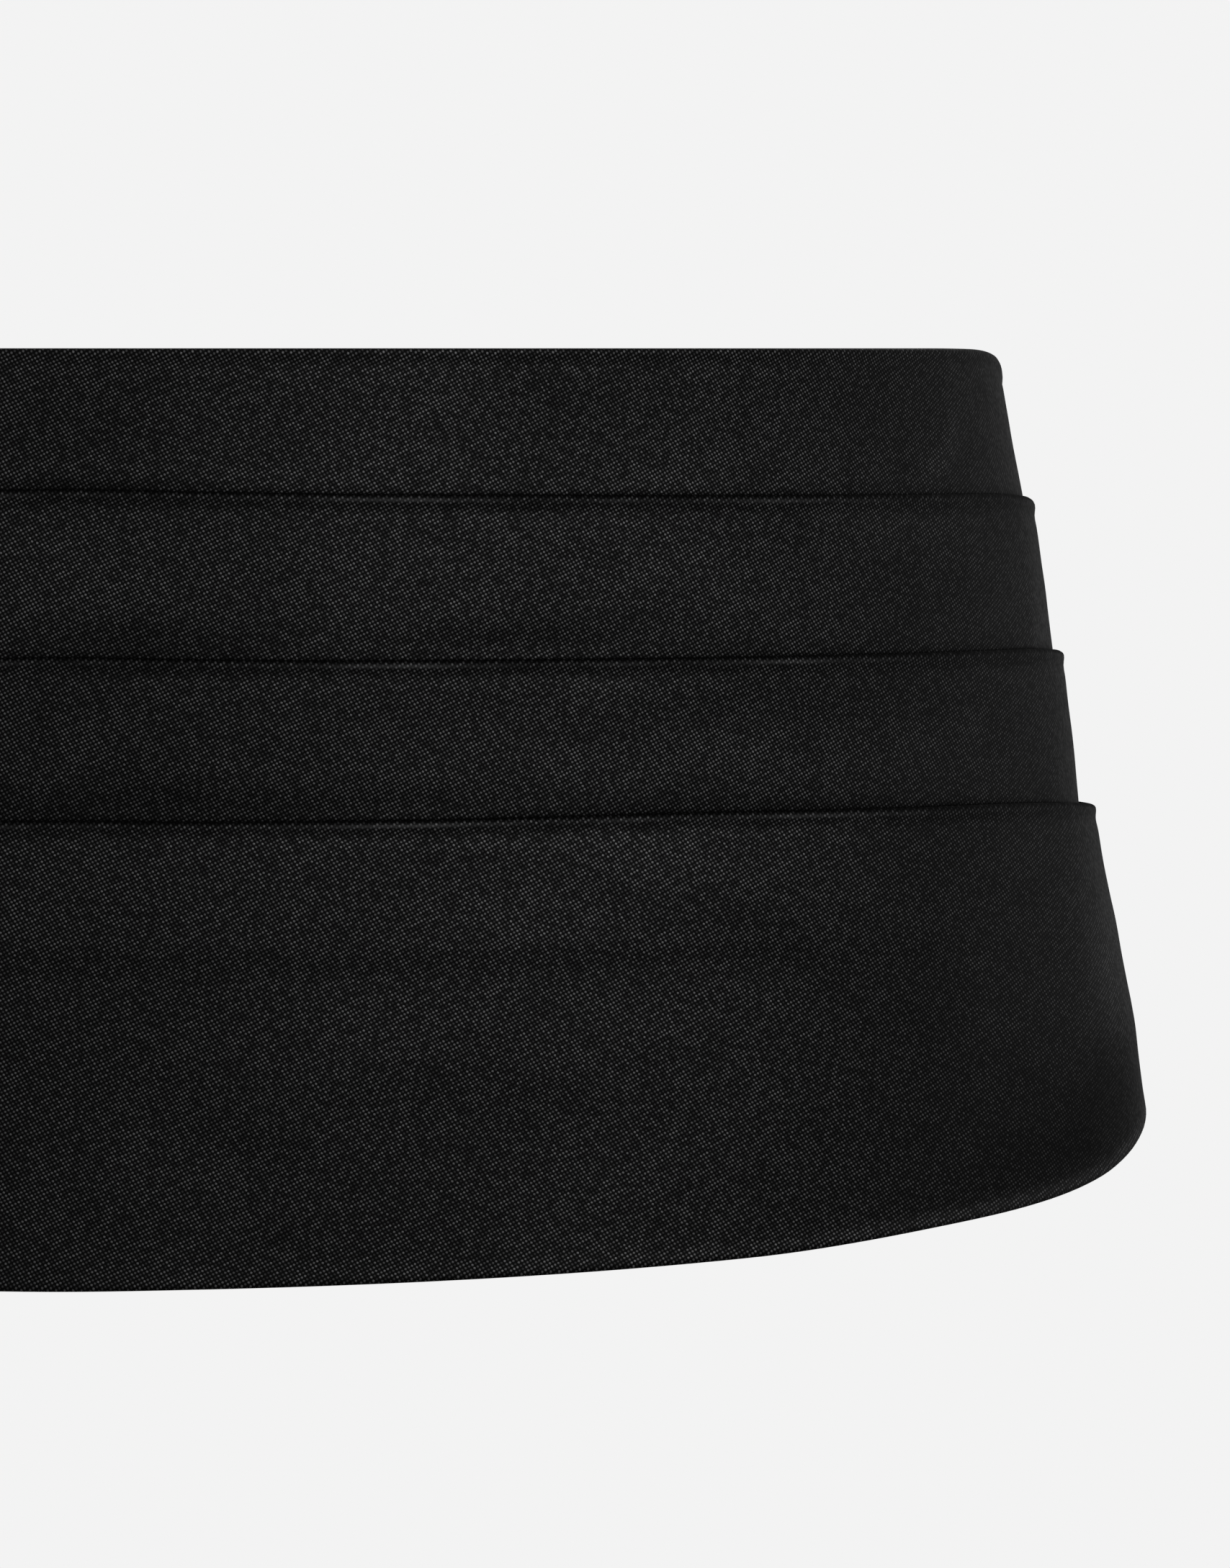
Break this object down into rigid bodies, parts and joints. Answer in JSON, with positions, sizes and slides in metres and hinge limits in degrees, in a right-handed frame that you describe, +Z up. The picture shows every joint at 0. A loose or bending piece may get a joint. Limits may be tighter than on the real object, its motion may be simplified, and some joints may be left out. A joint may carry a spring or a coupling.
{
  "type": "cummerbund",
  "caption": "Black silk-satin cummerbund worn round the waist, with upward-opening knife pleats in front and a narrow back strap set by a slide buckle.",
  "frame": {"origin": "centre of the waist opening, level with the middle of the back straps", "axes": "+X to the right as seen from the front, which is the wearer's left; +Y towards the back; +Z up"},
  "size_m": [0.3, 0.1851, 0.1251],
  "materials": {
    "black_satin": "black silk satin with a soft sheen and a fine diagonal grain",
    "strap_satin": "plainer black satin",
    "buckle_metal": "satin nickel-coloured metal with softened edges"
  },
  "bodies": {
    "root": {"front_panel": "black_satin", "strap_left": "strap_satin", "strap_right": "strap_satin", "slide_buckle": "buckle_metal"}
  },
  "joints": []
}
